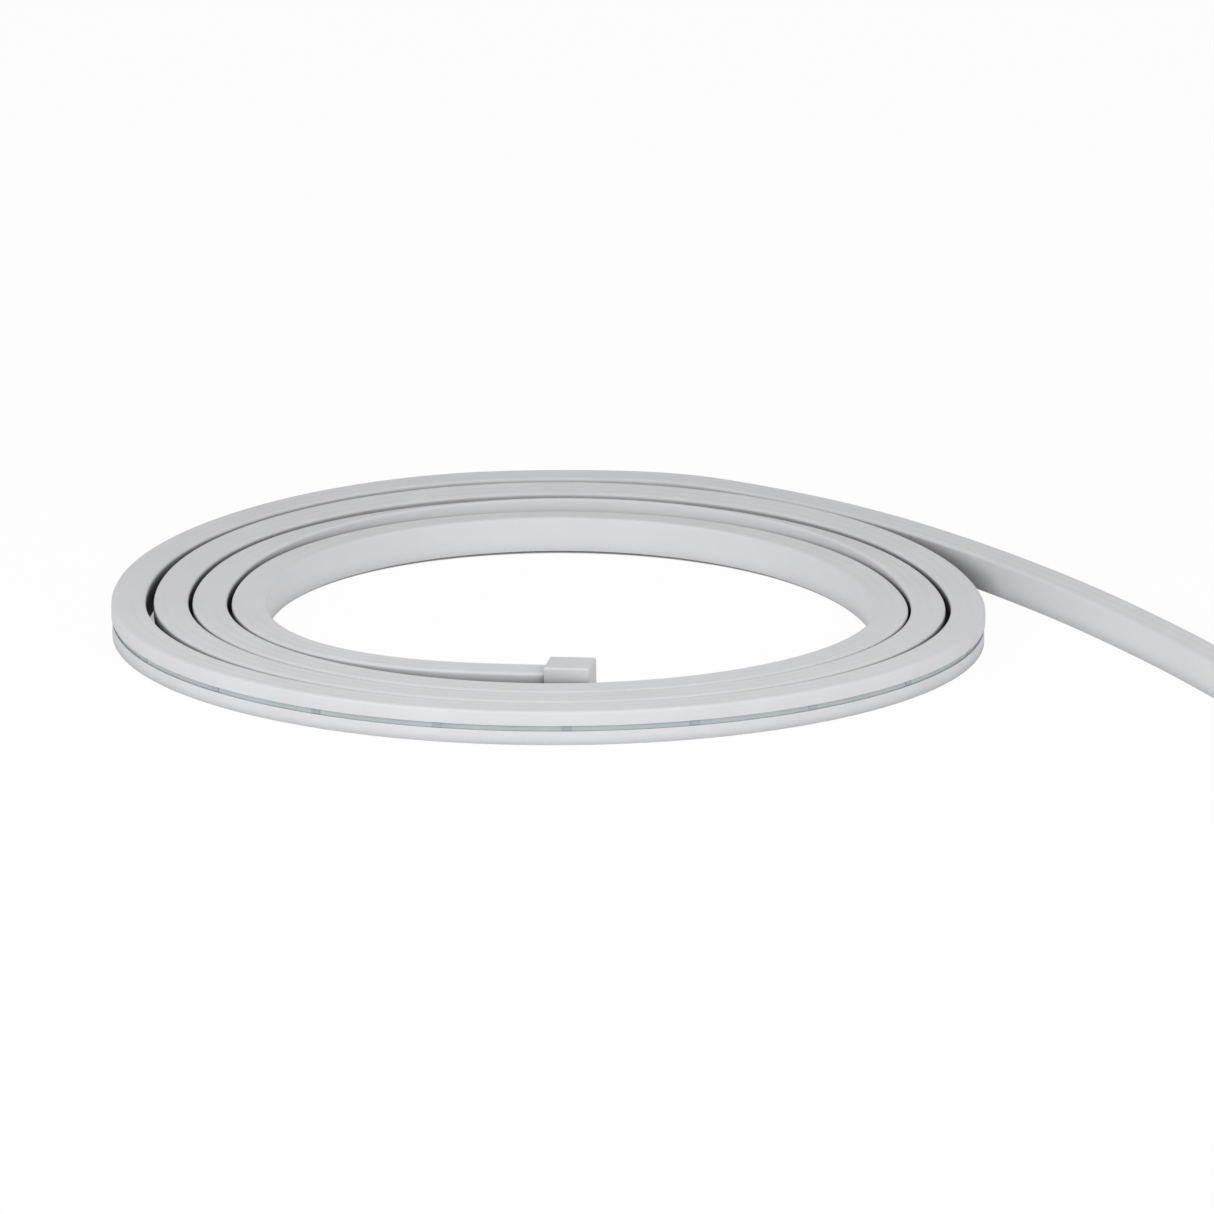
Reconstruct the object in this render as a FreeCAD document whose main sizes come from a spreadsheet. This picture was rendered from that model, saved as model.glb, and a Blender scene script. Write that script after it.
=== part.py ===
import FreeCAD, Part
import math
import os

import Sketcher
from FreeCAD import Vector

# A flexible light strip of moulded silicone, laid down as a flat spiral of four turns.
# Its inner end wears a moulded cap, its outer end runs off as a tail and is put away
# as a second, smaller coil that ends in the feed cap with its lead gland.
# Right-handed frame in millimetres, +Z up, the strip lies on z = 0.

# Driving dimensions, each one row of the sheet under its own alias
SIZES = {
    # Silicone jacket, seen across its length: width is radial, height is vertical
    "strip_width": 16.0,
    "strip_height": 16.0,
    "edge_chamfer": 1.4,
    "face_step": 0.5,
    "slot_bottom": 6.5,
    "slot_height": 2.6,
    "lip_thickness": 0.9,

    # Light engine inside the jacket
    "ribbon_height": 10.0,
    "ribbon_thickness": 0.4,
    "channel_side_clearance": 0.1,
    "channel_clearance": 0.05,
    "solder_film": 0.05,
    "cut_unit": 58.33,
    "led_length": 3.5,
    "led_height": 2.8,
    "led_thickness": 0.8,
    "resistor_length": 3.2,
    "resistor_height": 1.6,
    "resistor_thickness": 0.55,
    "pad_length": 4.6,
    "pad_height": 2.0,
    "pad_thickness": 0.3,

    # Spiral: where the outer turn lies, then the gaps towards the inside
    "back_reach": 205.7,
    "left_reach": 199.2,
    "front_reach": 196.0,
    "right_reach": 189.6,
    "left_shift": 14.0,
    "right_shift": 21.0,
    "back_gap_one": 8.4,
    "back_gap_two": 10.6,
    "back_gap_three": 5.2,
    "left_gap_one": 4.2,
    "left_gap_two": 1.5,
    "left_gap_three": 2.3,
    "front_gap_one": 1.0,
    "front_gap_two": 0.9,
    "right_gap_one": 2.6,
    "right_gap_two": 1.2,
    "start_heading": 175.5,
    "end_run": 37.0,
    "end_heading": -9.0,
    "end_run_x": -24.3,
    "end_gap": 10.7,

    # Tail: its first straight run beyond the coil
    "tail_first_run": 36.0,

    # Put-away coil at the outer end of the tail
    "stow_reach": 95.0,
    "stow_gap": 1.6,
    "stow_inner_radius": 61.0,
    "feed_run": 23.0,

    # Caps on the two ends
    "cap_length": 21.2,
    "cap_wall": 2.4,
    "cap_clearance": 0.1,
    "cap_corner": 1.0,
    "cap_floor": 2.6,
    "sealant_thickness": 1.2,
    "sealant_clearance": 0.05,

    # Lead gland on the feed cap
    "gland_diameter": 11.0,
    "gland_length": 8.0,
    "grommet_bore": 5.2,
    "grommet_wall": 1.5,
    "grommet_clearance": 0.05,
    "nut_width": 14.0,
    "nut_length": 7.0,
    "nut_lip": 1.6,
    "nut_clearance": 0.1,
    "nut_opening": 6.8,
    "pin_diameter": 0.8,
    "pin_length": 15.0,
    "pin_spacing": 6.0,
    "pin_tail": 3.0,
    "wiring_space": 6.0,
}

doc = FreeCAD.newDocument("LightStrip")
sheet = doc.addObject("Spreadsheet::Sheet", "Sizes")
for row, (name, value) in enumerate(SIZES.items(), 1):
    sheet.set("A%d" % row, name)
    sheet.set("B%d" % row, repr(value))
    sheet.setAlias("B%d" % row, name)
doc.recompute()


def get(name):
    return float(sheet.get(name))


def new_body(label):
    body = doc.addObject("PartDesign::Body", label)
    body.Label = label
    return body


def origin_plane(body, role):
    for feature in body.Origin.OriginFeatures:
        if feature.Role == role:
            return feature
    raise ValueError("no origin plane " + role)


def bind(thing, path, formula):
    """Tie a property or a named constraint to a formula of the sheet's names."""
    thing.setExpression(path, formula)


def sketch_on(body, name, height="0"):
    """A sketch on the body's XY plane, raised along the axis by a formula."""
    sketch = body.newObject("Sketcher::SketchObject", name)
    sketch.AttachmentSupport = [(origin_plane(body, "XY_Plane"), "")]
    sketch.MapMode = "FlatFace"
    bind(sketch, "AttachmentOffset.Base.z", height)
    return sketch


def draw_rectangle(sketch, width, height):
    """A rectangle centred on the origin, its sides bound to two formulas."""
    corners = [Vector(-1, -1, 0), Vector(1, -1, 0), Vector(1, 1, 0), Vector(-1, 1, 0)]
    first = sketch.GeometryCount
    for here, there in zip(corners, corners[1:] + corners[:1]):
        sketch.addGeometry(Part.LineSegment(here, there), False)
    for side in range(4):
        following = first + (side + 1) % 4
        sketch.addConstraint(Sketcher.Constraint("Coincident", first + side, 2, following, 1))
    sketch.addConstraint(Sketcher.Constraint("Horizontal", first))
    sketch.addConstraint(Sketcher.Constraint("Horizontal", first + 2))
    sketch.addConstraint(Sketcher.Constraint("Vertical", first + 1))
    sketch.addConstraint(Sketcher.Constraint("Vertical", first + 3))
    sketch.addConstraint(Sketcher.Constraint("Symmetric", first, 1, first + 2, 1, -1, 1))
    for name, edge, formula in (("width", first, width), ("height", first + 1, height)):
        number = sketch.addConstraint(Sketcher.Constraint("Distance", edge, 2.0))
        sketch.renameConstraint(number, name)
        bind(sketch, "Constraints." + name, formula)


def draw_circle(sketch, diameter, x="0", y="0", name="round"):
    """A circle whose diameter and centre are bound to formulas."""
    number = sketch.addGeometry(Part.Circle(Vector(0.1, 0.1, 0), Vector(0, 0, 1), 1.0), False)
    kinds = (("Diameter", (number, 2.0), diameter), ("DistanceX", (-1, 1, number, 3, 0.1), x),
             ("DistanceY", (-1, 1, number, 3, 0.1), y))
    for kind, arguments, formula in kinds:
        constraint = sketch.addConstraint(Sketcher.Constraint(kind, *arguments))
        label = name + kind
        sketch.renameConstraint(constraint, label)
        bind(sketch, "Constraints." + label, formula)


def pad(body, sketch, name, length):
    feature = body.newObject("PartDesign::Pad", name)
    feature.Profile = sketch
    feature.Type = "Length"
    bind(feature, "Length", length)
    doc.recompute()
    return feature


def pocket(body, sketch, name, depth):
    """Cut the sketch downwards from its plane and check that it took material away."""
    before = body.Shape.Volume
    feature = body.newObject("PartDesign::Pocket", name)
    feature.Profile = sketch
    feature.Type = "Length"
    bind(feature, "Length", depth)
    doc.recompute()
    if not body.Shape.Volume < before:
        raise ValueError(name + " cut nothing")
    return feature


# Route of the strip's centreline, from the capped inner end outwards.
# A stop is a point and the direction of travel there; between two stops of a coil
# lie two tangent arcs, and between two corners of the tail one arc and two runs.

UP = Vector(0, 0, 1)
strip_width = get("strip_width")
strip_height = get("strip_height")
mid_height = strip_height / 2


def heading(degrees):
    angle = math.radians(degrees)
    return Vector(math.cos(angle), math.sin(angle), 0)


def shrink(reach, *gaps):
    """Where each pass of the spiral lies on one side, from the outside inwards."""
    passes = [reach]
    for gap in gaps:
        passes.append(passes[-1] - strip_width - gap)
    return passes


def arc_piece(start, corner, end):
    """The arc that leaves start towards corner and reaches end coming from corner."""
    arm = (corner - start).normalize()
    chord = (end - start).normalize()
    half_turn = arm.getAngle(chord)
    middle = (start + end) * 0.5
    if half_turn < 1e-5:
        return Part.LineSegment(start, end).toShape()
    bulge = math.cos(half_turn) / (1 + math.cos(half_turn))
    return Part.Arc(start, middle + (corner - middle) * bulge, end).toShape()


def biarc(first, second):
    """Two tangent arcs of equal arms between two stops."""
    (start, start_way), (end, end_way) = first, second
    reach = end - start
    along = reach.dot(start_way + end_way)
    spread = 2 * (1 - start_way.dot(end_way))
    if spread < 1e-9:
        arm = reach.dot(reach) / (2 * along)
    else:
        arm = (math.sqrt(along ** 2 + spread * reach.dot(reach)) - along) / spread
    near = start + start_way * arm
    far = end - end_way * arm
    joint = (near + far) * 0.5
    return [arc_piece(start, near, joint), arc_piece(joint, far, end)]


def through_stops(stops):
    edges = []
    for first, second in zip(stops, stops[1:]):
        edges += biarc(first, second)
    return edges


def round_corners(corners):
    """Straight runs joined by arcs that take up nearly half of the shorter run."""
    share = 0.45
    edges = []
    here = corners[0]
    for before, corner, after in zip(corners, corners[1:], corners[2:]):
        trim = share * min(before.distanceToPoint(corner), corner.distanceToPoint(after))
        enter = corner + (before - corner).normalize() * trim
        leave = corner + (after - corner).normalize() * trim
        edges.append(Part.LineSegment(here, enter).toShape())
        edges.append(arc_piece(enter, corner, leave))
        here = leave
    edges.append(Part.LineSegment(here, corners[-1]).toShape())
    return edges


def tilted(stops, pivot, axis, degrees):
    """Stops turned about a line through pivot, so that their far side rises."""
    turn = FreeCAD.Rotation(axis, degrees)
    return [(pivot + turn.multVec(point - pivot), turn.multVec(way)) for point, way in stops]


def straight(stop, length):
    """The stop that lies a straight run further on."""
    point, way = stop
    return point + way * length, way


def run_edge(first, second):
    return Part.LineSegment(first[0], second[0]).toShape()


# The spiral's passes on its four sides, then its stops from the outside inwards
back = shrink(get("back_reach"), get("back_gap_one"), get("back_gap_two"), get("back_gap_three"))
left = shrink(get("left_reach"), get("left_gap_one"), get("left_gap_two"), get("left_gap_three"))
front = shrink(get("front_reach"), get("front_gap_one"), get("front_gap_two"))
right = shrink(get("right_reach"), get("right_gap_one"), get("right_gap_two"))
side_shift = {1: get("left_shift"), 3: get("right_shift")}
QUARTERS = 14
quarter_radii = [(back, left, front, right)[step % 4][step // 4] for step in range(QUARTERS)]

spiral_stops = []
for step, radius in enumerate(quarter_radii):
    angle = 90 + 90 * step
    outward = heading(angle)
    point = outward * radius + Vector(0, -side_shift.get(step % 4, 0), mid_height)
    inner = quarter_radii[min(step + 1, QUARTERS - 1)]
    outer = quarter_radii[max(step - 1, 0)]
    drift = (inner - outer) / math.pi
    way = (heading(angle + 90) * radius + outward * drift).normalize()
    spiral_stops.append((point, way * -1))
spiral_stops[0] = (spiral_stops[0][0], heading(get("start_heading")) * -1)
spiral_stops.reverse()

# The innermost run lies straight in its cap, which lifts it by its wall. A tilted turn
# also rolls the strip: by 2 times its tilt after half a turn, by the root of 2 after a quarter.
QUARTER_ROLL = math.sqrt(2)
HALF_TURN_ROLL = 2
cap_proud = get("cap_wall") + get("cap_clearance")
end_way = heading(get("end_heading")) * -1
end_run_y = -(front[-1] - strip_width - get("end_gap"))
end_run_stop = (Vector(get("end_run_x"), end_run_y, mid_height), end_way)
strip_end_stop = (end_run_stop[0] - end_way * get("end_run"), end_way)
pivot, pivot_way = spiral_stops[0]
sealing_gap = get("sealant_thickness") + 2 * get("sealant_clearance")
cap_grip = get("cap_length") - get("cap_floor") - sealing_gap
cap_half = strip_width / 2 + cap_proud
mouth_reach = abs(strip_end_stop[0].x + end_way.x * cap_grip - pivot.x)
end_tilt = math.degrees(math.atan(cap_proud / (mouth_reach - QUARTER_ROLL * cap_half)))
strip_end_stop, end_run_stop = tilted([strip_end_stop, end_run_stop], pivot, pivot_way, -end_tilt)

tail_stop = straight(spiral_stops[-1], strip_width)
coil_edges = [run_edge(strip_end_stop, end_run_stop)]
coil_edges += through_stops([end_run_stop] + spiral_stops)
coil_edges.append(run_edge(spiral_stops[-1], tail_stop))

# Corners of the tail, chosen by hand, as shares of the coil's reach to the right and back
TAIL_CORNERS = [(0.4747, 0.8848), (0.7278, 0.7025), (0.9863, 0.4302), (1.2553, 0.0705),
                (1.4652, -0.2747), (1.5770, -0.4828), (1.6472, -0.6223)]
tail_corners = [tail_stop[0], straight(tail_stop, get("tail_first_run"))[0]]
tail_corners += [Vector(x * right[0], y * back[0], mid_height) for x, y in TAIL_CORNERS]
tail_edges = round_corners(tail_corners)

# The put-away coil turns left, a whole turn inwards and then half a tighter turn
stow_way = (tail_corners[-1] - tail_corners[-2]).normalize()
stow_entry = (tail_corners[-1], stow_way)
stow_start = straight(stow_entry, strip_width)
stow_radius = get("stow_reach")
stow_pitch = strip_width + get("stow_gap")
stow_left = UP.cross(stow_way)
stow_centre = stow_start[0] + stow_left * stow_radius
stow_stops = [stow_start]
for step in range(1, 5):
    turn = FreeCAD.Rotation(UP, 90 * step)
    outward = turn.multVec(stow_left * -1)
    radius = stow_radius - stow_pitch * step / 4
    way = (turn.multVec(stow_way) * radius - outward * (stow_pitch / math.tau)).normalize()
    stow_stops.append((stow_centre + outward * radius, way))
pivot, pivot_way = stow_stops[-1]
inner_span = 2 * get("stow_inner_radius")
half_turn_stop = (pivot + stow_left * inner_span, stow_way * -1)
feed_end_stop = straight(half_turn_stop, get("feed_run"))
stow_tilt = math.degrees(math.atan(cap_proud / (inner_span - HALF_TURN_ROLL * cap_half)))
half_turn_stop, feed_end_stop = tilted([half_turn_stop, feed_end_stop], pivot, pivot_way, stow_tilt)
stow_edges = [run_edge(stow_entry, stow_start)]
stow_edges += through_stops(stow_stops + [half_turn_stop])
stow_edges.append(run_edge(half_turn_stop, feed_end_stop))


def edge_turn(edge):
    """The least rotation that carries the edge's first direction to its last."""
    return FreeCAD.Rotation(edge.tangentAt(edge.FirstParameter), edge.tangentAt(edge.LastParameter))


def edge_frame(edge, up):
    """Start point, travel, up, length and turn of one edge."""
    start = edge.valueAt(edge.FirstParameter)
    return start, edge.tangentAt(edge.FirstParameter), up, edge.Length, edge_turn(edge)


def frames_inwards(edges):
    """Frames of the edges before a level stretch, up carried back along them."""
    frames = []
    up = UP
    for edge in reversed(edges):
        up = edge_turn(edge).inverted().multVec(up)
        frames.insert(0, edge_frame(edge, up))
    return frames


def frames_outwards(edges):
    """Frames of the edges from a level stretch on, up carried along them."""
    frames = []
    up = UP
    for edge in edges:
        frames.append(edge_frame(edge, up))
        up = edge_turn(edge).multVec(up)
    return frames


strip_frames = frames_inwards(coil_edges) + frames_outwards(tail_edges + stow_edges)
strip_length = sum(frame[3] for frame in strip_frames)


def frame_at(distance):
    """Point, travel and up on the centreline, a distance from the capped end."""
    index = 0
    while index < len(strip_frames) - 1 and distance > strip_frames[index][3]:
        distance -= strip_frames[index][3]
        index += 1
    start, travel, up, length, turn = strip_frames[index]
    share = min(distance / length, 1.0)
    part_turn = FreeCAD.Rotation(turn.Axis, math.degrees(turn.Angle) * share)
    if turn.Angle < 1e-6:
        return start + travel * distance, travel, up
    centre_way = turn.Axis.cross(travel)
    radius = length / turn.Angle
    centre = start + centre_way * radius
    return centre + part_turn.multVec(start - centre), part_turn.multVec(travel), part_turn.multVec(up)


def placement_of(origin, x_way, y_way, z_way):
    matrix = FreeCAD.Matrix(x_way.x, y_way.x, z_way.x, origin.x,
                            x_way.y, y_way.y, z_way.y, origin.y,
                            x_way.z, y_way.z, z_way.z, origin.z,
                            0, 0, 0, 1)
    return FreeCAD.Placement(matrix)


def section_placement(distance):
    """Local x runs outwards across the strip, y up and z along it, from its centre."""
    point, travel, up = frame_at(distance)
    return placement_of(point, up.cross(travel), up, travel)


# Levels of the section, outwards from the centreline and up from its middle
half_width = strip_width / 2
half_height = strip_height / 2
lower_face = half_width - get("face_step")
channel_outer = lower_face - get("lip_thickness")
ribbon_outer = channel_outer - get("channel_clearance")
ribbon_inner = ribbon_outer - get("ribbon_thickness")
part_seat = ribbon_inner - get("solder_film")
tallest_part = max(get("led_thickness"), get("resistor_thickness"), get("pin_diameter"))
channel_inner = part_seat - tallest_part - get("channel_clearance")
channel_half = get("ribbon_height") / 2 + get("channel_side_clearance")
slot_low = get("slot_bottom") - half_height
slot_high = slot_low + get("slot_height")


def section_wire(points, distance):
    wire = Part.makePolygon([Vector(x, y, 0) for x, y in points + points[:1]])
    wire.Placement = section_placement(distance)
    return wire


def jacket_section():
    """The C-shaped section: a block with its channel and the slot that opens it."""
    cut = get("edge_chamfer")
    return [(-half_width, -half_height), (lower_face, -half_height), (lower_face, slot_low),
            (channel_outer, slot_low), (channel_outer, -channel_half),
            (channel_inner, -channel_half), (channel_inner, channel_half),
            (channel_outer, channel_half), (channel_outer, slot_high),
            (half_width, slot_high), (half_width, half_height - cut),
            (half_width - cut, half_height), (cut - half_width, half_height),
            (-half_width, half_height - cut)]


def sweep(label, section, edges, distance):
    """A closed section carried along a chain of edges that starts at a distance."""
    path = Part.Wire(edges)
    profile = section_wire(section, distance)
    solid = path.makePipeShell([profile], True, False)
    area = Part.Face(profile).Area
    expected = area * path.Length
    print("%s: length %.1f, volume %.0f against section times length %.0f"
          % (label, path.Length, solid.Volume, expected))
    feature = doc.addObject("Part::Feature", label)
    feature.Label = label
    feature.Shape = solid
    return feature


coil_length = sum(edge.Length for edge in coil_edges)
tail_length = sum(edge.Length for edge in tail_edges)
strip_coil = sweep("strip_coil", jacket_section(), coil_edges, 0)
strip_tail = sweep("strip_tail", jacket_section(), tail_edges, coil_length)
strip_stowed = sweep("strip_stowed", jacket_section(), stow_edges, coil_length + tail_length)

half_ribbon = get("ribbon_height") / 2
ribbon_section = [(ribbon_inner, -half_ribbon), (ribbon_outer, -half_ribbon),
                  (ribbon_outer, half_ribbon), (ribbon_inner, half_ribbon)]
circuit_ribbon = sweep("circuit_ribbon", ribbon_section, coil_edges + tail_edges + stow_edges, 0)


def blocks_along(label, distances, length, height, inner, outer, middle):
    """Small blocks set on the ribbon, each square to the strip where it sits."""
    blocks = []
    for distance in distances:
        corner = Vector(inner, middle - height / 2, -length / 2)
        block = Part.makeBox(outer - inner, height, length, corner)
        block.Placement = section_placement(distance)
        blocks.append(block)
    feature = doc.addObject("Part::Feature", label)
    feature.Label = label
    feature.Shape = Part.makeCompound(blocks)
    return feature


LEDS_PER_UNIT = 3
cut_unit = get("cut_unit")
pin_reach = get("pin_length") - get("pin_tail") - sealing_gap
units = int((strip_length - pin_reach) // cut_unit)
led_gap = cut_unit / LEDS_PER_UNIT
led_places = []
resistor_places = []
pad_places = []
for unit in range(units):
    unit_start = unit * cut_unit
    resistor_places.append(unit_start + led_gap)
    pad_places.append(unit_start + cut_unit)
    led_places += [unit_start + led_gap * (number + 0.5) for number in range(LEDS_PER_UNIT)]

led_packages = blocks_along("led_packages", led_places, get("led_length"), get("led_height"),
                            part_seat - get("led_thickness"), part_seat, 0)
resistors = blocks_along("resistors", resistor_places, get("resistor_length"),
                         get("resistor_height"), part_seat - get("resistor_thickness"),
                         part_seat, 0)
solder_pads = blocks_along("solder_pads", pad_places, get("pad_length"), get("pad_height"),
                           ribbon_outer + get("solder_film"),
                           ribbon_outer + get("solder_film") + get("pad_thickness"),
                           (slot_low + slot_high) / 2)


# Caps: local z points out of the strip's end, whose face is at z = 0

CAVITY_WIDTH = "(Sizes.strip_width + 2 * Sizes.cap_clearance)"
CAVITY_HEIGHT = "(Sizes.strip_height + 2 * Sizes.cap_clearance)"
CAP_WIDTH = CAVITY_WIDTH + " + 2 * Sizes.cap_wall"
CAP_HEIGHT = CAVITY_HEIGHT + " + 2 * Sizes.cap_wall"
SEALING_GAP = "(Sizes.sealant_thickness + 2 * Sizes.sealant_clearance)"
GRIP = "(Sizes.cap_length - Sizes.cap_floor - " + SEALING_GAP + ")"
GROMMET_OUTER = "(Sizes.grommet_bore + 2 * Sizes.grommet_wall)"
GLAND_BORE = "(" + GROMMET_OUTER + " + 2 * Sizes.grommet_clearance)"
PIN_X = ("(Sizes.strip_width / 2 - Sizes.face_step - Sizes.lip_thickness - Sizes.channel_clearance"
         " - Sizes.ribbon_thickness - Sizes.solder_film - Sizes.pin_diameter / 2)")
FEED_FLOOR = "(" + SEALING_GAP + " + Sizes.wiring_space)"
FEED_END = "(" + FEED_FLOOR + " + Sizes.cap_floor)"


def cap_body(label, end_face, socket_floor):
    """A square cap, rounded outside, with a socket that takes the strip's end."""
    body = new_body(label)
    outline = sketch_on(body, label + "_outline", "-" + GRIP)
    draw_rectangle(outline, CAP_WIDTH, CAP_HEIGHT)
    block = pad(body, outline, label + "_block", end_face + " + " + GRIP)
    mouth = block.Shape.BoundBox.ZMin
    names = []
    for number, edge in enumerate(block.Shape.Edges, 1):
        if edge.BoundBox.ZMax > mouth + 0.01:
            names.append("Edge%d" % number)
    rounding = body.newObject("PartDesign::Fillet", label + "_rounding")
    rounding.Base = (block, names)
    bind(rounding, "Radius", "min(Sizes.cap_corner; 0.9 * Sizes.cap_wall)")
    doc.recompute()
    opening = sketch_on(body, label + "_opening", socket_floor)
    draw_rectangle(opening, CAVITY_WIDTH, CAVITY_HEIGHT)
    pocket(body, opening, label + "_socket", socket_floor + " + " + GRIP)
    return body


def draw_pin_circles(sketch, diameter):
    """The two contact pins, one above the other on the ribbon's inner face."""
    draw_circle(sketch, diameter, PIN_X, "Sizes.pin_spacing / 2", "upper")
    draw_circle(sketch, diameter, PIN_X, "-Sizes.pin_spacing / 2", "lower")


def sealant_plate(label, with_pins):
    """Sealant poured between the strip's end face and the bottom of the socket."""
    body = new_body(label)
    outline = sketch_on(body, label + "_outline", "Sizes.sealant_clearance")
    draw_rectangle(outline, "Sizes.strip_width", "Sizes.strip_height")
    if with_pins:
        draw_pin_circles(outline, "Sizes.pin_diameter + 2 * Sizes.sealant_clearance")
    pad(body, outline, label + "_fill", "Sizes.sealant_thickness")
    return body


end_cap = cap_body("end_cap", SEALING_GAP + " + Sizes.cap_floor", SEALING_GAP)
end_sealant = sealant_plate("end_sealant", False)
feed_cap = cap_body("feed_cap", FEED_END, FEED_FLOOR)
feed_sealant = sealant_plate("feed_sealant", True)

# The gland's tube on the feed cap and the bore that runs through to the wiring space
boss_outline = sketch_on(feed_cap, "gland_outline", FEED_END)
draw_circle(boss_outline, "Sizes.gland_diameter")
pad(feed_cap, boss_outline, "gland_boss", "Sizes.gland_length")
bore_outline = sketch_on(feed_cap, "gland_bore_outline", FEED_END + " + Sizes.gland_length")
draw_circle(bore_outline, GLAND_BORE)
pocket(feed_cap, bore_outline, "gland_bore", "Sizes.gland_length + Sizes.cap_floor")

lead_grommet = new_body("lead_grommet")
ring_outline = sketch_on(lead_grommet, "grommet_outline", FEED_FLOOR)
draw_circle(ring_outline, GROMMET_OUTER, name="outer")
draw_circle(ring_outline, "Sizes.grommet_bore", name="inner")
pad(lead_grommet, ring_outline, "grommet_tube", "Sizes.gland_length + Sizes.cap_floor")

contact_pins = new_body("contact_pins")
contact_pins.AllowCompound = True
pin_outline = sketch_on(contact_pins, "pin_outline", SEALING_GAP + " + Sizes.pin_tail - Sizes.pin_length")
draw_pin_circles(pin_outline, "Sizes.pin_diameter")
pad(contact_pins, pin_outline, "pins", "Sizes.pin_length")


def primitive(kind, name, **formulas):
    """A primitive whose sizes and height along the strip are bound to formulas."""
    thing = doc.addObject(kind, name)
    for path, formula in formulas.items():
        bind(thing, path.replace("_z", ".Base.z"), formula)
    return thing


def cut(label, base, tool):
    result = doc.addObject("Part::Cut", label)
    result.Base = base
    result.Tool = tool
    doc.recompute()
    return result


# The nut closes on the gland's tube, its lip keeps the grommet in
NUT_TOP = FEED_END + " + Sizes.gland_length + Sizes.nut_clearance + Sizes.nut_lip"
NUT_BOTTOM = NUT_TOP + " - Sizes.nut_length"
nut_block = primitive("Part::Prism", "nut_block", Height="Sizes.nut_length",
                      Circumradius="Sizes.nut_width / 2 / cos(30 deg)", Placement_z=NUT_BOTTOM)
nut_block.Polygon = 6
nut_socket = primitive("Part::Cylinder", "nut_socket", Height="Sizes.nut_length - Sizes.nut_lip",
                       Radius="Sizes.gland_diameter / 2 + Sizes.nut_clearance",
                       Placement_z=NUT_BOTTOM)
nut_hole = primitive("Part::Cylinder", "nut_hole", Height="Sizes.nut_length",
                     Radius="Sizes.nut_opening / 2", Placement_z=NUT_BOTTOM)
gland_nut = cut("gland_nut", cut("nut_shell", nut_block, nut_socket), nut_hole)


# Places: the caps' pieces sit in the frames of the strip's two ends

start_point, start_travel, start_up = frame_at(0)
start_place = placement_of(start_point, start_travel.cross(start_up), start_up, start_travel * -1)
feed_place = section_placement(strip_length)
for piece in (end_cap, end_sealant):
    piece.Placement = start_place
for piece in (feed_cap, feed_sealant, lead_grommet, contact_pins, gland_nut):
    piece.Placement = feed_place
doc.recompute()

pieces = [strip_coil, strip_tail, strip_stowed, circuit_ribbon, led_packages, resistors,
          solder_pads, end_cap, end_sealant, feed_cap, feed_sealant, lead_grommet,
          contact_pins, gland_nut]

# The origin goes to the middle of the whole footprint, on the floor
outline = Part.makeCompound([piece.Shape for piece in pieces]).optimalBoundingBox(False, False)
shift = Vector(-outline.Center.x, -outline.Center.y, -outline.ZMin)
for piece in pieces:
    moved = piece.Placement
    moved.Base = moved.Base + shift
    piece.Placement = moved
doc.recompute()


def least_gap(edges):
    """Smallest air between turns of one coil, measured on points of its centreline."""
    spacing = 4.0
    path = Part.Wire(edges)
    count = int(path.Length / spacing)
    points = path.discretize(Number=count)
    apart = int(10 * strip_width / spacing)
    least = min(points[one].distanceToPoint(points[two])
                for one in range(0, count, 2) for two in range(one + apart, count))
    return least - strip_width


for label, edges in (("coil", coil_edges), ("put-away coil", stow_edges)):
    print("least gap of the %s to itself: %.2f" % (label, least_gap(edges)))
for label, edges in (("coil", coil_edges), ("tail", tail_edges), ("put-away coil", stow_edges)):
    radii = [edge.Curve.Radius for edge in edges if hasattr(edge.Curve, "Radius")]
    print(label + " radii: " + " ".join("%.0f" % radius for radius in radii))
print("strip length %.1f, coil %.1f, tail %.1f, put away %.1f"
      % (strip_length, coil_length, tail_length, strip_length - coil_length - tail_length))
print("footprint %.1f by %.1f, height %.1f, shift %.3f %.3f %.3f"
      % (outline.XLength, outline.YLength, outline.ZLength, shift.x, shift.y, shift.z))

for thing in doc.Objects:
    if "Invalid" in thing.State or "Error" in thing.State:
        raise ValueError(thing.Name + " did not build")
for piece in pieces:
    if piece.Shape.isNull() or not piece.Shape.isValid():
        raise ValueError(piece.Label + " has no valid shape")
os.makedirs("parts", exist_ok=True)
for piece in pieces:
    piece.Shape.exportStep("parts/" + piece.Label + ".step")
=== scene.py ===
import math

import bpy
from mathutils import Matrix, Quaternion, Vector


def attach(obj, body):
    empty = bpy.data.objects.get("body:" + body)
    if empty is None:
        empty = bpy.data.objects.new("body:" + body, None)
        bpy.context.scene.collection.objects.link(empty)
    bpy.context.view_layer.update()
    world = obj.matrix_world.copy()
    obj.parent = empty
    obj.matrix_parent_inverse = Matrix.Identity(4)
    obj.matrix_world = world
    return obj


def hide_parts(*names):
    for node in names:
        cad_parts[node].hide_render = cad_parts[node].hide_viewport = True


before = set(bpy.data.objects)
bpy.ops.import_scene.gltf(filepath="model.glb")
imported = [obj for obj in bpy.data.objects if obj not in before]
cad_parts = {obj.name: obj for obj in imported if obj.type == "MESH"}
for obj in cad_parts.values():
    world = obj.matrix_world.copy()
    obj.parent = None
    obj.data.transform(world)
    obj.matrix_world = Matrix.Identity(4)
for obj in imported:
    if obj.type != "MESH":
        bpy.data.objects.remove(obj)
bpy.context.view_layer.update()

# A flexible light strip of milky silicone, laid as a flat spiral with a tail that
# leaves the view. Everything is in metres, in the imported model's frame.

MM = 0.001
UP = Vector((0, 0, 1))

# The spiral's centre in the frame, and the jacket's section
COIL_CENTRE = Vector((-0.146745, -0.005098, 0))
STRIP_WIDTH = 16 * MM
STRIP_HEIGHT = 16 * MM
MIDDLE = STRIP_HEIGHT / 2
CAP_PROUD = 2.5 * MM


# Camera: a long lens far away, as level as the photograph's, which shows no perspective

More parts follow.
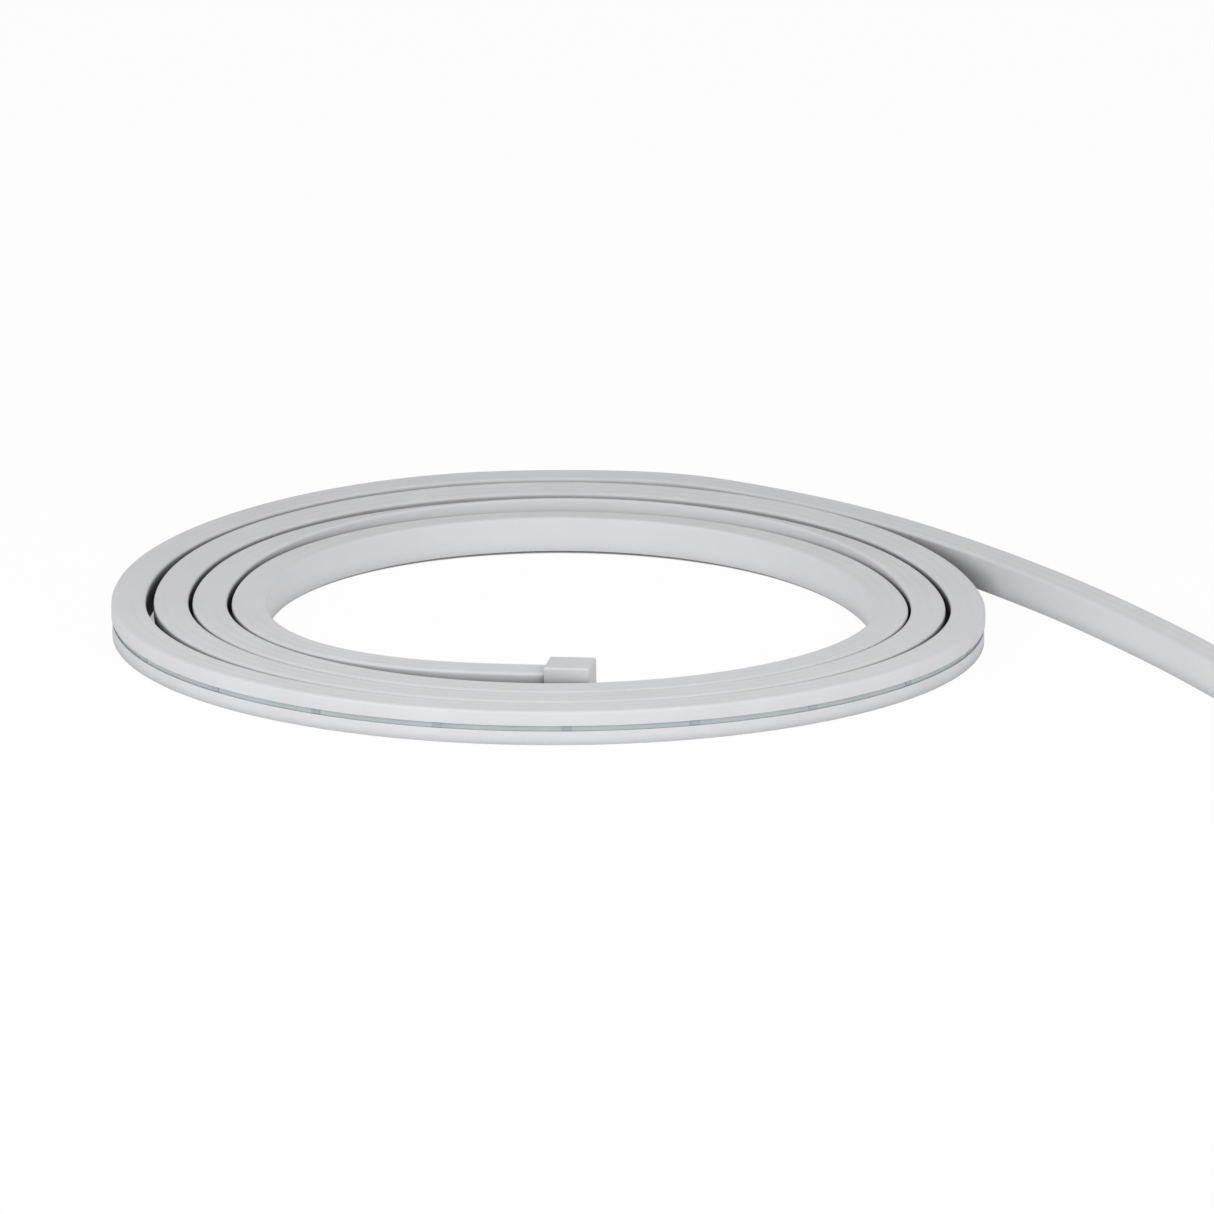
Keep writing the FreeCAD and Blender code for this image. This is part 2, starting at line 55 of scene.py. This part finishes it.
FRAME_PIXELS = 1214
PIXELS_PER_METRE = 2156
VIEW_ELEVATION = math.radians(15.6)
CAMERA_DISTANCE = 20.0
SENSOR = 36.0
AIM = COIL_CENTRE + Vector((0.0224, 0.0321, 0))


def make_camera():
    data = bpy.data.cameras.new("camera")
    data.sensor_width = SENSOR
    data.lens = PIXELS_PER_METRE * CAMERA_DISTANCE / FRAME_PIXELS * SENSOR
    data.clip_start = 1.0
    data.clip_end = 100.0
    camera = bpy.data.objects.new("camera", data)
    back = Vector((0, -math.cos(VIEW_ELEVATION), math.sin(VIEW_ELEVATION)))
    camera.location = AIM + back * CAMERA_DISTANCE
    camera.rotation_mode = "QUATERNION"
    camera.rotation_quaternion = (-back).to_track_quat("-Z", "Y")
    bpy.context.collection.objects.link(camera)
    bpy.context.scene.camera = camera


make_camera()


# Route of the strip: the spiral from its capped inner end outwards, the tail, the
# put-away coil. The spiral's passes are given by their reach on four sides.

def shrink(reach, *gaps):
    """Where each pass of the spiral lies on one side, from the outside inwards."""
    passes = [reach]
    for gap in gaps:
        passes.append(passes[-1] - STRIP_WIDTH - gap)
    return passes


BACK = shrink(205.7 * MM, 8.4 * MM, 10.6 * MM, 5.2 * MM)
LEFT = shrink(199.2 * MM, 3.8 * MM, 1.9 * MM, 2.3 * MM)
FRONT = shrink(196.0 * MM, 1.0 * MM, 0.9 * MM)
RIGHT = shrink(189.6 * MM, 2.6 * MM, 1.2 * MM)
LEFT_SHIFT = 14 * MM
RIGHT_SHIFT = 21 * MM
QUARTERS = 14
POINTS_PER_QUARTER = 6
QUARTER_HANDLE = 1.657
BACK_RIGHT_PULL = 3.0 * MM
PULL_LEAN = 0.8
INNER_RUN_PUSH = 3.0 * MM


def heading(degrees):
    angle = math.radians(degrees)
    return Vector((math.cos(angle), math.sin(angle), 0))


def quarter_stops():
    """Points at the back, left, front and right of each turn, from the outside inwards."""
    stops = []
    sides = (BACK, LEFT, FRONT, RIGHT)
    shifts = (0, LEFT_SHIFT, 0, RIGHT_SHIFT)
    for step in range(QUARTERS):
        radius = sides[step % 4][step // 4]
        shift = shifts[step % 4]
        stops.append(heading(90 + 90 * step) * radius - Vector((0, shift, 0)))
    return stops


def hermite(start, start_way, end, end_way, share):
    """A point on the curve that leaves start and reaches end with those ways."""
    square = share * share
    cube = square * share
    return (start * (2 * cube - 3 * square + 1) + start_way * (cube - 2 * square + share)
            + end * (3 * square - 2 * cube) + end_way * (cube - square))


def stop_ways(stops, first_heading):
    """Direction at each stop: square to its side, with the drift of the spiral."""
    outwards = [heading(90 + 90 * step) for step in range(QUARTERS)]
    reaches = [stop.dot(outward) for stop, outward in zip(stops, outwards)]
    ways = []
    for step, (outward, reach) in enumerate(zip(outwards, reaches)):
        inner = reaches[min(step + 1, QUARTERS - 1)]
        outer = reaches[max(step - 1, 0)]
        drift = (inner - outer) / math.pi
        ways.append((UP.cross(outward) * reach + outward * drift).normalized())
    ways[0] = heading(first_heading)
    return ways


def stand_out(step_angle):
    """How far control points stand out, because the spline cuts inside them."""
    return 1 + step_angle ** 2 / 8


def slack(step, share):
    """How far a turn is drawn in between its right and its back."""
    if step % 4 != 3:
        return 0.0
    return BACK_RIGHT_PULL * math.sin(math.pi * share ** PULL_LEAN)


def spiral_points(first_heading):
    """Control points of the spiral from the outside inwards."""
    stops = quarter_stops()
    ways = stop_ways(stops, first_heading)
    swell = stand_out(math.radians(90 / POINTS_PER_QUARTER))
    points = []
    for step in range(QUARTERS - 1):
        start, end = stops[step], stops[step + 1]
        across = end - start
        along = (abs(across.dot(ways[step])), abs(across.dot(ways[step + 1])))
        for number in range(POINTS_PER_QUARTER):
            share = number / POINTS_PER_QUARTER
            point = hermite(start, ways[step] * along[0] * QUARTER_HANDLE,
                            end, ways[step + 1] * along[1] * QUARTER_HANDLE, share)
            points.append(point * swell - point.normalized() * slack(step, share))
    points.append(stops[-1] * swell)
    return points


END_RUN_STOP = Vector((-24.3 * MM, -135.4 * MM, 0))
END_HEADING = -9
END_RUN = 37 * MM
START_HEADING = 175.5
TAIL_FIRST_RUN = 36 * MM
TAIL_CORNERS = [(90, 182), (138, 144.5), (187, 88.5), (238, 14.5), (277.8, -56.5), (299, -99.3)]
TAIL_END = (312.3, -128)
STOW_REACH = 95 * MM
STOW_GAP = 1.6 * MM
STOW_INNER_RADIUS = 61 * MM
FEED_RUN = 23 * MM
STOW_TURN_STEPS = 24
RISE_SHARE = 1.1
RISE_POWER = 1.5


def inner_end_points():
    """The last bend and the straight run into the end cap, lifted by the cap."""
    start = quarter_stops()[-1]
    way = heading(END_HEADING)
    across = END_RUN_STOP - start
    points = []
    for number in range(1, POINTS_PER_QUARTER + 1):
        share = number / POINTS_PER_QUARTER
        point = hermite(start, heading(270) * abs(across.y) * QUARTER_HANDLE,
                        END_RUN_STOP, way * abs(across.x) * QUARTER_HANDLE, share)
        points.append(point + point.normalized() * INNER_RUN_PUSH * math.sin(math.pi * share))
    end = END_RUN_STOP + way * END_RUN
    points += [END_RUN_STOP + way * END_RUN * 0.5, end]
    reach = end.x - start.x
    return [point + UP * CAP_PROUD * min(RISE_SHARE, (point.x - start.x) / reach) ** RISE_POWER
            for point in points]


def stowed_points(entry, way):
    """The put-away coil: a whole turn to the left and inwards, then half a tighter one."""
    left = UP.cross(way)
    start = entry + way * STRIP_WIDTH
    centre = start + left * STOW_REACH
    pitch = STRIP_WIDTH + STOW_GAP
    steps = STOW_TURN_STEPS
    step_angle = math.tau / steps
    swell = stand_out(step_angle)
    points = [entry]
    for step in range(1, steps + 1):
        angle = step_angle * step
        radius = STOW_REACH - pitch * step / steps
        outward = Quaternion(UP, angle) @ (-left)
        points.append(centre + outward * radius * swell)
    inner_start = centre - left * (STOW_REACH - pitch)
    inner_centre = inner_start + left * STOW_INNER_RADIUS
    for step in range(1, steps // 2):
        outward = Quaternion(UP, step_angle * step) @ (-left)
        rise = CAP_PROUD * (1 - math.cos(step_angle * step)) / 2
        points.append(inner_centre + outward * STOW_INNER_RADIUS * swell + UP * rise)
    end = inner_centre + left * STOW_INNER_RADIUS + UP * CAP_PROUD
    points += [end, end - way * FEED_RUN * 0.5, end - way * FEED_RUN]
    return points


def tail_points(start, way):
    """The free stretch, its points given along the floor."""
    points = [start + way * STRIP_WIDTH + way * TAIL_FIRST_RUN]
    points += [Vector((x * MM, y * MM, 0)) for x, y in TAIL_CORNERS]
    return points


def route_points():
    spiral = spiral_points(START_HEADING)
    start_way = heading(START_HEADING) * -1
    tail = tail_points(spiral[0], start_way)
    entry = Vector((TAIL_END[0] * MM, TAIL_END[1] * MM, 0))
    stow_way = (entry - tail[-1]).normalized()
    points = list(reversed(inner_end_points())) + list(reversed(spiral)) + tail
    points += stowed_points(entry, stow_way)
    return [COIL_CENTRE + point + UP * MIDDLE for point in points]


def smooth_route(points):
    """The points read from one NURBS spline through the route's control points."""
    curve = bpy.data.curves.new("route", "CURVE")
    curve.dimensions = "3D"
    curve.resolution_u = 8
    spline = curve.splines.new("NURBS")
    spline.points.add(len(points) - 1)
    for spline_point, point in zip(spline.points, points):
        spline_point.co = (*point, 1)
    spline.order_u = 3
    spline.use_endpoint_u = True
    holder = bpy.data.objects.new("route", curve)
    bpy.context.collection.objects.link(holder)
    bpy.context.view_layer.update()
    mesh = bpy.data.meshes.new_from_object(holder)
    line = [vertex.co.copy() for vertex in mesh.vertices]
    bpy.data.objects.remove(holder)
    bpy.data.meshes.remove(mesh)
    return line


# Rolls of the strip at the back of its turns, in degrees, the top leaning inwards:
# the whole angle of the spiral where the roll is largest, and the roll there
ROLLS = ((450, 5.6), (798.5, -18.0), (1170, -4.7))
EDGE_ROUNDING = 1.6 * MM
FOOT_ROUNDING = 0.1 * MM
COIL_REACH = 250 * MM


def roll_at(whole_angle):
    return sum(roll * math.cos(math.radians(whole_angle - middle))
               for middle, roll in ROLLS if abs(whole_angle - middle) < 90)


def whole_angles(line):
    """The angle of each point round the spiral's centre, counted on from turn to turn."""
    angles = []
    turn = 1080
    before = None
    for point in line:
        across = point - COIL_CENTRE
        angle = math.degrees(math.atan2(across.y, across.x)) % 360
        if before is not None and angle - before > 180:
            turn -= 360
        before = angle
        angles.append(angle + turn)
    return angles


def section_frames(line):
    """Centre, outward and up directions and distance along, for each point of a line."""
    angles = whole_angles(line)
    frames = []
    distance = 0.0
    for index, point in enumerate(line):
        ahead = line[min(index + 1, len(line) - 1)]
        behind = line[max(index - 1, 0)]
        if index:
            distance += (point - behind).length
        travel = (ahead - behind).normalized()
        outward = UP.cross(travel).normalized()
        up = travel.cross(outward)
        roll = 0.0
        if (point - COIL_CENTRE).length < COIL_REACH and angles[index] > 360:
            roll = math.radians(roll_at(angles[index]))
        flat = STRIP_WIDTH / 2 - FOOT_ROUNDING
        lift = flat * (math.cos(roll) + abs(math.sin(roll))) + FOOT_ROUNDING - MIDDLE
        across = outward * math.cos(roll) + up * math.sin(roll)
        upright = up * math.cos(roll) - outward * math.sin(roll)
        frames.append((point + UP * lift, across, upright, travel, distance))
    return frames


ROUTE = smooth_route(route_points())
FRAMES = section_frames(ROUTE)
STRIP_LENGTH = FRAMES[-1][4]


# Levels of the jacket's section, outwards from its middle and up from its middle

LOWER_FACE = 7.5 * MM
SLOT_LOW = -1.5 * MM
SLOT_HIGH = 1.1 * MM
CHANNEL_OUTER = 6.6 * MM
CHANNEL_INNER = 5.25 * MM
CHANNEL_HALF = 5.1 * MM
RIBBON_OUTER = 6.55 * MM
RIBBON_INNER = 6.15 * MM
RIBBON_HALF = 5.0 * MM
LIP_ROUNDING = 0.25 * MM
FACE_WAVE = 0.09 * MM
FACE_WAVES = 2.5
FACE_STEPS = 20
TOP_CORNER = 10
HALF = STRIP_WIDTH / 2


def rounded(corner, before, after, radius, steps):
    """Points of a round corner between the sides towards before and after."""
    enter = corner + (before - corner).normalized() * radius
    leave = corner + (after - corner).normalized() * radius
    points = []
    for step in range(steps + 1):
        share = step / steps
        one = enter.lerp(corner, share)
        two = corner.lerp(leave, share)
        points.append(one.lerp(two, share))
    return points


def waved_side(start, end, steps):
    """Points between two corners on a face that the extrusion leaves faintly ribbed."""
    across = end - start
    normal = Vector((-across.y, across.x)).normalized()
    points = []
    for step in range(1, steps):
        share = step / steps
        ripple = FACE_WAVE * math.sin(share * math.tau * FACE_WAVES)
        points.append(start.lerp(end, share) - normal * ripple)
    return points


def jacket_profile():
    """The closed C-shaped outline, walked round with the jacket on the left."""
    low, high = -HALF, HALF
    corners = [
        (Vector((low, low)), FOOT_ROUNDING, 3),
        (Vector((LOWER_FACE, low)), FOOT_ROUNDING, 3),
        (Vector((LOWER_FACE, SLOT_LOW)), LIP_ROUNDING, 2),
        (Vector((CHANNEL_OUTER, SLOT_LOW)), 0, 0),
        (Vector((CHANNEL_OUTER, -CHANNEL_HALF)), 0, 0),
        (Vector((CHANNEL_INNER, -CHANNEL_HALF)), 0, 0),
        (Vector((CHANNEL_INNER, CHANNEL_HALF)), 0, 0),
        (Vector((CHANNEL_OUTER, CHANNEL_HALF)), 0, 0),
        (Vector((CHANNEL_OUTER, SLOT_HIGH)), 0, 0),
        (Vector((high, SLOT_HIGH)), LIP_ROUNDING, 2),
        (Vector((high, high)), EDGE_ROUNDING, 5),
        (Vector((low, high)), EDGE_ROUNDING, 5),
    ]
    points = []
    for index, (corner, radius, steps) in enumerate(corners):
        before = corners[index - 1][0]
        after = corners[(index + 1) % len(corners)][0]
        if radius:
            points += rounded(corner, before, after, radius, steps)
        else:
            points.append(corner)
        if index == TOP_CORNER:
            start = corner + (after - corner).normalized() * EDGE_ROUNDING
            end = after + (corner - after).normalized() * EDGE_ROUNDING
            points += waved_side(start, end, FACE_STEPS)
    return points


def sweep(name, profile, frames):
    """A closed outline carried along the frames, with a flat face at each end."""
    vertices = []
    for centre, across, upright, travel, distance in frames:
        vertices += [centre + across * point.x + upright * point.y for point in profile]
    count = len(profile)
    faces = []
    for ring in range(len(frames) - 1):
        for side in range(count):
            one = ring * count + side
            two = ring * count + (side + 1) % count
            faces.append((one, two, two + count, one + count))
    faces.append(tuple(reversed(range(count))))
    faces.append(tuple(range((len(frames) - 1) * count, len(frames) * count)))
    return new_piece(name, vertices, faces, smooth=True)


def new_piece(name, vertices, faces, smooth):
    mesh = bpy.data.meshes.new(name)
    mesh.from_pydata(vertices, [], faces)
    mesh.validate()
    mesh.update()
    for polygon in mesh.polygons:
        polygon.use_smooth = smooth
    piece = bpy.data.objects.new(name, mesh)
    bpy.context.collection.objects.link(piece)
    if smooth:
        mesh.set_sharp_from_angle(angle=math.radians(32))
    return piece


def frame_at(distance):
    """The section's frame at a distance along the strip, between two path points."""
    low, high = 0, len(FRAMES) - 1
    while high - low > 1:
        middle = (low + high) // 2
        if FRAMES[middle][4] < distance:
            low = middle
        else:
            high = middle
    one, two = FRAMES[low], FRAMES[high]
    share = (distance - one[4]) / (two[4] - one[4])
    return [one[part].lerp(two[part], share) for part in range(4)]


BLOCK_CORNERS = [(x, y, z) for x in (0, 1) for y in (0, 1) for z in (0, 1)]
BLOCK_FACES = [(0, 1, 3, 2), (4, 6, 7, 5), (0, 4, 5, 1), (2, 3, 7, 6), (0, 2, 6, 4), (1, 5, 7, 3)]


def blocks_along(name, distances, inner, outer, low, high, length):
    """Small parts soldered along the ribbon, as one mesh of separate blocks."""
    vertices = []
    faces = []
    for distance in distances:
        centre, across, upright, travel = frame_at(distance)
        first = len(vertices)
        for x, y, z in BLOCK_CORNERS:
            vertices.append(centre + across * (inner + (outer - inner) * x)
                            + upright * (low + (high - low) * y) + travel * length * (z - 0.5))
        faces += [tuple(first + corner for corner in face) for face in BLOCK_FACES]
    return new_piece(name, vertices, faces, smooth=False)


CUT_UNIT = 58.33 * MM
END_MARGIN = 14 * MM
UNITS = int((STRIP_LENGTH - END_MARGIN) // CUT_UNIT)
LEDS_PER_UNIT = 3
PART_SEAT = 6.1 * MM
LED_SIZE = (0.75 * MM, 2.8 * MM, 3.5 * MM)
CHIP_SIZE = (0.55 * MM, 1.6 * MM, 3.2 * MM)
PAD_LENGTH = 4.6 * MM
PAD_INSET = 0.3 * MM
PAD_FACES = (RIBBON_OUTER + 0.02 * MM, RIBBON_OUTER + 0.35 * MM)
FIRST_MARK = 14.5 * MM


def seated_blocks(name, distances, block_size):
    """Blocks on the inner face of the ribbon, centred on its height."""
    thickness, height, length = block_size
    return blocks_along(name, distances, PART_SEAT - thickness, PART_SEAT,
                        -height / 2, height / 2, length)


RIBBON_PROFILE = [Vector(point) for point in (
    (RIBBON_INNER, -RIBBON_HALF), (RIBBON_OUTER, -RIBBON_HALF),
    (RIBBON_OUTER, RIBBON_HALF), (RIBBON_INNER, RIBBON_HALF))]

jacket = sweep("jacket", jacket_profile(), FRAMES)
ribbon = sweep("ribbon", RIBBON_PROFILE, FRAMES)
led_places = [CUT_UNIT * (unit + (number + 0.5) / LEDS_PER_UNIT)
              for unit in range(UNITS) for number in range(LEDS_PER_UNIT)]
leds = seated_blocks("leds", led_places, LED_SIZE)
chip_places = [CUT_UNIT * (unit + 1 / LEDS_PER_UNIT) for unit in range(UNITS)]
chips = seated_blocks("chips", chip_places, CHIP_SIZE)
pad_places = [CUT_UNIT * (unit + 1) + FIRST_MARK for unit in range(UNITS)]
pads = blocks_along("pads", pad_places, *PAD_FACES, SLOT_LOW + PAD_INSET, SLOT_HIGH - PAD_INSET,
                    PAD_LENGTH)


# Materials, all procedural

GRAIN_HEIGHT = 0.05 * MM

def new_material(name):
    material = bpy.data.materials.new(name)
    material.use_nodes = True
    tree = material.node_tree
    shader = tree.nodes["Principled BSDF"]
    return material, tree, shader


def object_noise(tree, scale, detail=4.0, stretch=(1, 1, 1)):
    place = tree.nodes.new("ShaderNodeTexCoord")
    mapping = tree.nodes.new("ShaderNodeMapping")
    mapping.inputs["Scale"].default_value = stretch
    noise = tree.nodes.new("ShaderNodeTexNoise")
    noise.inputs["Scale"].default_value = scale
    noise.inputs["Detail"].default_value = detail
    tree.links.new(place.outputs["Object"], mapping.inputs["Vector"])
    tree.links.new(mapping.outputs["Vector"], noise.inputs["Vector"])
    return noise


def ramp_between(tree, source, dark, light, low=0.3, high=0.7):
    ramp = tree.nodes.new("ShaderNodeValToRGB")
    ramp.color_ramp.elements[0].position = low
    ramp.color_ramp.elements[0].color = (*dark, 1)
    ramp.color_ramp.elements[1].position = high
    ramp.color_ramp.elements[1].color = (*light, 1)
    tree.links.new(source, ramp.inputs["Fac"])
    return ramp


def add_bump(tree, shader, source, strength, distance):
    bump = tree.nodes.new("ShaderNodeBump")
    bump.inputs["Strength"].default_value = strength
    bump.inputs["Distance"].default_value = distance
    tree.links.new(source, bump.inputs["Height"])
    tree.links.new(bump.outputs["Normal"], shader.inputs["Normal"])


def plain_material(name, dark, light, roughness, scale=60.0, bump=0.1, metallic=0.0):
    """A finish whose colour, gloss and surface vary a little over the piece."""
    material, tree, shader = new_material(name)
    noise = object_noise(tree, scale)
    colour = ramp_between(tree, noise.outputs["Fac"], dark, light)
    tree.links.new(colour.outputs["Color"], shader.inputs["Base Color"])
    gloss = tree.nodes.new("ShaderNodeMapRange")
    gloss.inputs["To Min"].default_value = roughness - 0.05
    gloss.inputs["To Max"].default_value = roughness + 0.08
    tree.links.new(noise.outputs["Fac"], gloss.inputs["Value"])
    tree.links.new(gloss.outputs["Result"], shader.inputs["Roughness"])
    shader.inputs["Metallic"].default_value = metallic
    grain = object_noise(tree, scale * 20, 2.0)
    add_bump(tree, shader, grain.outputs["Fac"], bump, GRAIN_HEIGHT)
    return material


def painted_shade_ramp(tree, distance, low, high):
    """Painted shade: a colour ramp, white in the open, near black where neighbours within the
    distance close it in.
    """
    closeness = tree.nodes.new("ShaderNodeAmbientOcclusion")
    closeness.samples = 12
    closeness.inputs["Distance"].default_value = distance
    return ramp_between(tree, closeness.outputs["AO"], (0.10, 0.095, 0.09), (1, 1, 1), low, high)


def paint_gap_shade(tree, shader):
    """Darken the colour with painted shade where near neighbours close the surface in."""
    colour = shader.inputs["Base Color"].links[0].from_socket
    painted_shade = painted_shade_ramp(tree, 0.021, 0.10, 0.60)
    mix = tree.nodes.new("ShaderNodeMix")
    mix.data_type = "RGBA"
    mix.blend_type = "MULTIPLY"
    mix.inputs["Factor"].default_value = 1.0
    tree.links.new(colour, mix.inputs["A"])
    tree.links.new(painted_shade.outputs["Color"], mix.inputs["B"])
    tree.links.new(mix.outputs["Result"], shader.inputs["Base Color"])


def silicone(name, dark, light):
    material = plain_material(name, dark, light, 0.42, scale=25.0, bump=0.12)
    tree = material.node_tree
    shader = tree.nodes["Principled BSDF"]
    # The silicone's colour gets painted shade in the gaps between the turns and wherever parts
    # close it in.
    paint_gap_shade(tree, shader)
    shader.inputs["Subsurface Weight"].default_value = 0.06
    shader.inputs["Subsurface Radius"].default_value = (1.0, 0.95, 0.9)
    shader.inputs["Subsurface Scale"].default_value = 0.002
    shader.inputs["IOR"].default_value = 1.41
    return material


# Own colours of the silicone parts, darkened by painted shade in their gaps.
JACKET_SKIN = silicone("jacket_silicone", (0.705, 0.708, 0.730), (0.740, 0.745, 0.770))
CAP_SKIN = silicone("cap_silicone", (0.690, 0.695, 0.705), (0.720, 0.725, 0.735))
SEALANT_SKIN = silicone("sealant_silicone", (0.62, 0.63, 0.64), (0.70, 0.71, 0.72))
BOARD_SKIN = plain_material("board_back", (0.52, 0.575, 0.595), (0.58, 0.635, 0.655), 0.5, 80.0)
PAD_SKIN = plain_material("pad_tin", (0.38, 0.44, 0.46), (0.45, 0.51, 0.53), 0.4, 200.0)
LED_SKIN = plain_material("led_phosphor", (0.85, 0.72, 0.25), (0.92, 0.80, 0.35), 0.35, 300.0)
CHIP_SKIN = plain_material("chip_ceramic", (0.01, 0.01, 0.012), (0.02, 0.02, 0.024), 0.4, 300.0)
GROMMET_SKIN = plain_material("grommet_rubber", (0.07, 0.07, 0.075), (0.10, 0.10, 0.105),
                              0.6, 200.0)
NUT_SKIN = plain_material("nut_nylon", (0.55, 0.56, 0.57), (0.62, 0.63, 0.64), 0.5, 150.0)
PIN_SKIN = plain_material("pin_brass", (0.62, 0.42, 0.14), (0.72, 0.52, 0.22), 0.25, 300.0,
                          metallic=1.0)


def dress(piece, material):
    piece.data.materials.clear()
    piece.data.materials.append(material)


def dress_node(node, material):
    for holder in bpy.data.objects[node].material_slots:
        holder.material = material


for piece, material, slot_name, nodes in (
        (jacket, JACKET_SKIN, "jacket", ("strip_coil", "strip_tail", "strip_stowed")),
        (ribbon, BOARD_SKIN, "board", ("circuit_ribbon",)),
        (leds, LED_SKIN, "led", ("led_packages",)),
        (chips, CHIP_SKIN, "chip", ("resistors",)),
        (pads, PAD_SKIN, "copper", ("solder_pads",))):
    dress(piece, material)
    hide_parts(*nodes)
    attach(piece, "root")

for node, material in (("end_cap", CAP_SKIN), ("feed_cap", CAP_SKIN), ("end_sealant", SEALANT_SKIN),
                       ("feed_sealant", SEALANT_SKIN), ("lead_grommet", GROMMET_SKIN),
                       ("gland_nut", NUT_SKIN), ("contact_pins", PIN_SKIN)):
    dress_node(node, material)


# Studio: pale floor, white surroundings, one broad soft light near the viewer's side

def make_floor():
    reach = 6.0
    vertices = [(-reach, -reach, 0), (reach, -reach, 0), (reach, reach, 0), (-reach, reach, 0)]
    mesh = bpy.data.meshes.new("floor")
    mesh.from_pydata(vertices, [], [(0, 1, 2, 3)])
    floor = bpy.data.objects.new("floor", mesh)
    bpy.context.collection.objects.link(floor)
    material, tree, shader = new_material("floor_paper")
    shader.inputs["Roughness"].default_value = 0.9
    noise = object_noise(tree, 3.0)
    colour = ramp_between(tree, noise.outputs["Fac"], (0.97, 0.97, 0.97), (0.98, 0.98, 0.98))
    tree.links.new(colour.outputs["Color"], shader.inputs["Base Color"])
    seen = tree.nodes.new("ShaderNodeEmission")
    seen.inputs["Strength"].default_value = 1.0
    # Painted shadow: the floor's colour seen by the camera goes dark near the strip and in the gaps
    # between its turns.
    painted_shade = painted_shade_ramp(tree, 0.030, 0.05, 0.28)
    tree.links.new(painted_shade.outputs["Color"], seen.inputs["Color"])
    rays = tree.nodes.new("ShaderNodeLightPath")
    share = tree.nodes.new("ShaderNodeMath")
    share.operation = "MULTIPLY"
    share.inputs[1].default_value = 0.95
    mix = tree.nodes.new("ShaderNodeMixShader")
    tree.links.new(rays.outputs["Is Camera Ray"], share.inputs[0])
    tree.links.new(share.outputs["Value"], mix.inputs["Fac"])
    tree.links.new(shader.outputs["BSDF"], mix.inputs[1])
    tree.links.new(seen.outputs["Emission"], mix.inputs[2])
    tree.links.new(mix.outputs["Shader"], tree.nodes["Material Output"].inputs["Surface"])
    dress(floor, material)


def make_world():
    world = bpy.data.worlds.new("studio")
    world.use_nodes = True
    tree = world.node_tree
    background = tree.nodes["Background"]
    background.inputs["Color"].default_value = (1, 1, 1, 1)
    background.inputs["Strength"].default_value = 0.57
    seen = tree.nodes.new("ShaderNodeBackground")
    seen.inputs["Color"].default_value = (1, 1, 1, 1)
    seen.inputs["Strength"].default_value = 1.0
    rays = tree.nodes.new("ShaderNodeLightPath")
    mix = tree.nodes.new("ShaderNodeMixShader")
    tree.links.new(rays.outputs["Is Camera Ray"], mix.inputs["Fac"])
    tree.links.new(background.outputs["Background"], mix.inputs[1])
    tree.links.new(seen.outputs["Background"], mix.inputs[2])
    tree.links.new(mix.outputs["Shader"], tree.nodes["World Output"].inputs["Surface"])
    bpy.context.scene.world = world


def make_lamp(name, azimuth, elevation, distance, width, energy):
    """A broad lamp that faces the object from a direction given in degrees."""
    data = bpy.data.lights.new(name, "AREA")
    data.shape = "DISK"
    data.size = width
    data.energy = energy
    lamp = bpy.data.objects.new(name, data)
    azimuth, elevation = math.radians(azimuth), math.radians(elevation)
    back = Vector((math.sin(azimuth) * math.cos(elevation),
                   -math.cos(azimuth) * math.cos(elevation), math.sin(elevation)))
    lamp.location = COIL_CENTRE + back * distance
    lamp.rotation_mode = "QUATERNION"
    lamp.rotation_quaternion = (-back).to_track_quat("-Z", "Y")
    bpy.context.collection.objects.link(lamp)


make_floor()
make_world()
make_lamp("key", -4, 31, 1.1, 0.9, 2.0)
make_lamp("left", -50, 30, 1.0, 0.7, 1.9)
make_lamp("right", 46, 30, 1.0, 0.7, 1.5)
bpy.context.scene.view_settings.view_transform = "Standard"
